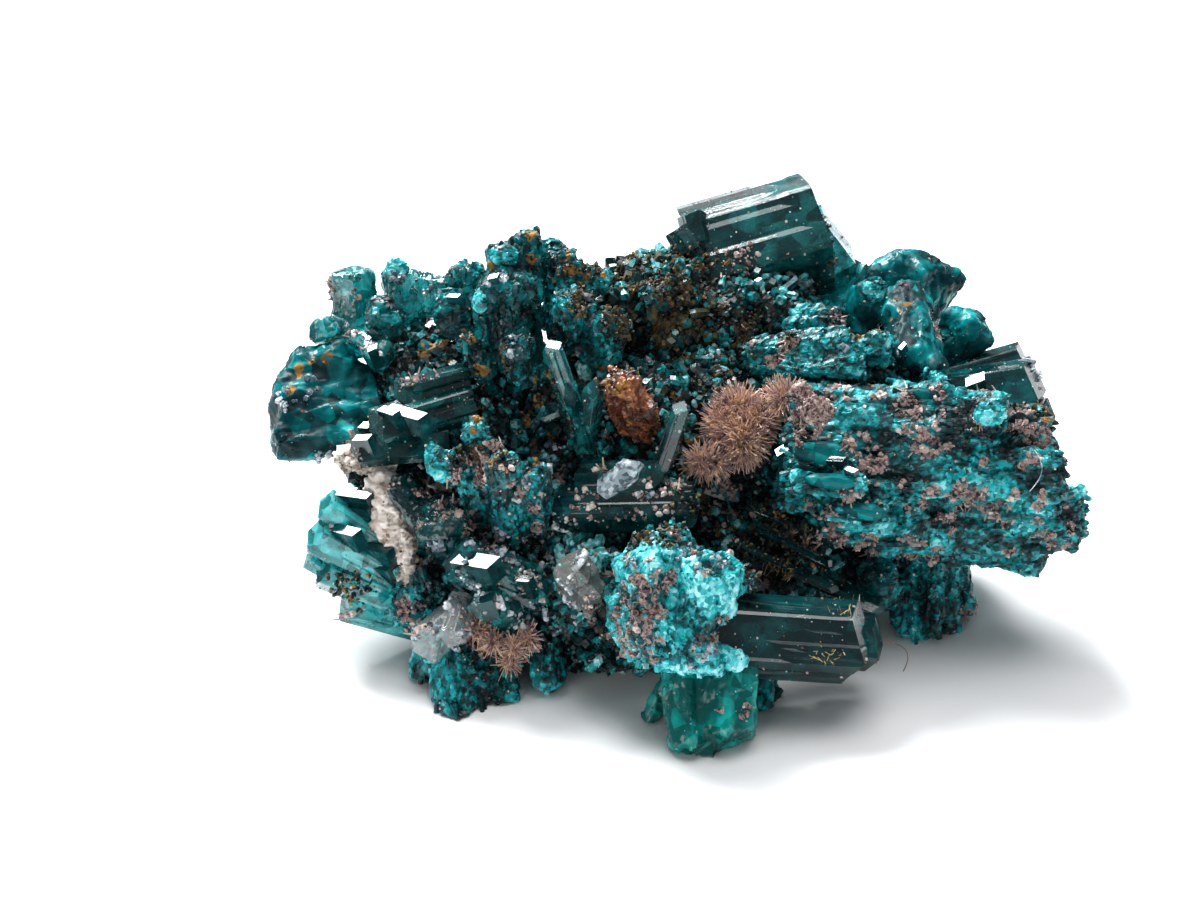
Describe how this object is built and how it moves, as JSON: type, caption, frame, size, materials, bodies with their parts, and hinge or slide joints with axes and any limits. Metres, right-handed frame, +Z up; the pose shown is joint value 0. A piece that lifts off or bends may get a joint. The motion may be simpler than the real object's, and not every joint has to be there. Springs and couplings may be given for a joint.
{
  "type": "dioptase crystal specimen",
  "caption": "Loose cluster of dark teal dioptase prisms and rough turquoise crystal bundles grown on a small brown rock matrix with pink and ochre crusts.",
  "frame": {"origin": "centre of the bounding box in plan, on the surface that the specimen rests on", "axes": "+X along the length, to the right in the picture; +Y away from the viewer; +Z up"},
  "size_m": [0.05, 0.0354, 0.0237],
  "materials": {
    "rock": "rough granular rock, olive brown to ochre, with a cream wedge",
    "deep_dioptase": "glossy striated prism faces, near-black teal",
    "teal_dioptase": "glossy and translucent, bright where thin",
    "rough_dioptase": "rough fractured turquoise crystal with sparkling faces",
    "pink_crust": "dull granular and needle-like pink-brown crust",
    "rust_mineral": "waxy rust-brown crystal",
    "clear_crystal": "clear, glassy",
    "grey_crystal": "cloudy grey, glassy"
  },
  "bodies": {
    "root": {"matrix": "rock", "top_prism": "deep_dioptase", "top_termination": "teal_dioptase", "foot_prism": "teal_dioptase", "right_foot_prism": "deep_dioptase", "turquoise_cluster": "rough_dioptase", "foot_side_crystal": "deep_dioptase", "right_bundle": "rough_dioptase", "dome_cluster": "rough_dioptase", "right_knob": "teal_dioptase", "right_dark_crystal": "deep_dioptase", "upper_right_cluster": "rough_dioptase", "lower_right_block": "rough_dioptase", "bottom_left_cluster": "rough_dioptase", "left_bundle": "teal_dioptase", "left_crystal": "rough_dioptase", "glint_crystal": "deep_dioptase", "upper_left_cluster": "teal_dioptase", "upper_left_knobs": "rough_dioptase", "upper_middle_cluster": "deep_dioptase", "upper_middle_shoulder": "rough_dioptase", "pink_lump": "pink_crust", "rust_crystal": "rust_mineral", "centre_columns": "rough_dioptase", "white_pyramid": "clear_crystal", "centre_fan": "teal_dioptase", "facet_prism": "teal_dioptase", "clear_crystal": "clear_crystal", "grey_crystal": "grey_crystal", "pink_stars": "pink_crust", "pink_spray": "pink_crust", "centre_block": "teal_dioptase", "dark_prism": "deep_dioptase", "lower_druse": "rough_dioptase", "cavity_blades": "deep_dioptase", "back_left_cluster": "teal_dioptase", "back_left_upper": "teal_dioptase", "back_left_lower": "teal_dioptase", "back_middle_cluster": "deep_dioptase", "back_middle_right": "deep_dioptase", "back_middle_left": "deep_dioptase", "back_right_cluster": "rough_dioptase", "back_right_lower": "rough_dioptase"}
  },
  "joints": []
}
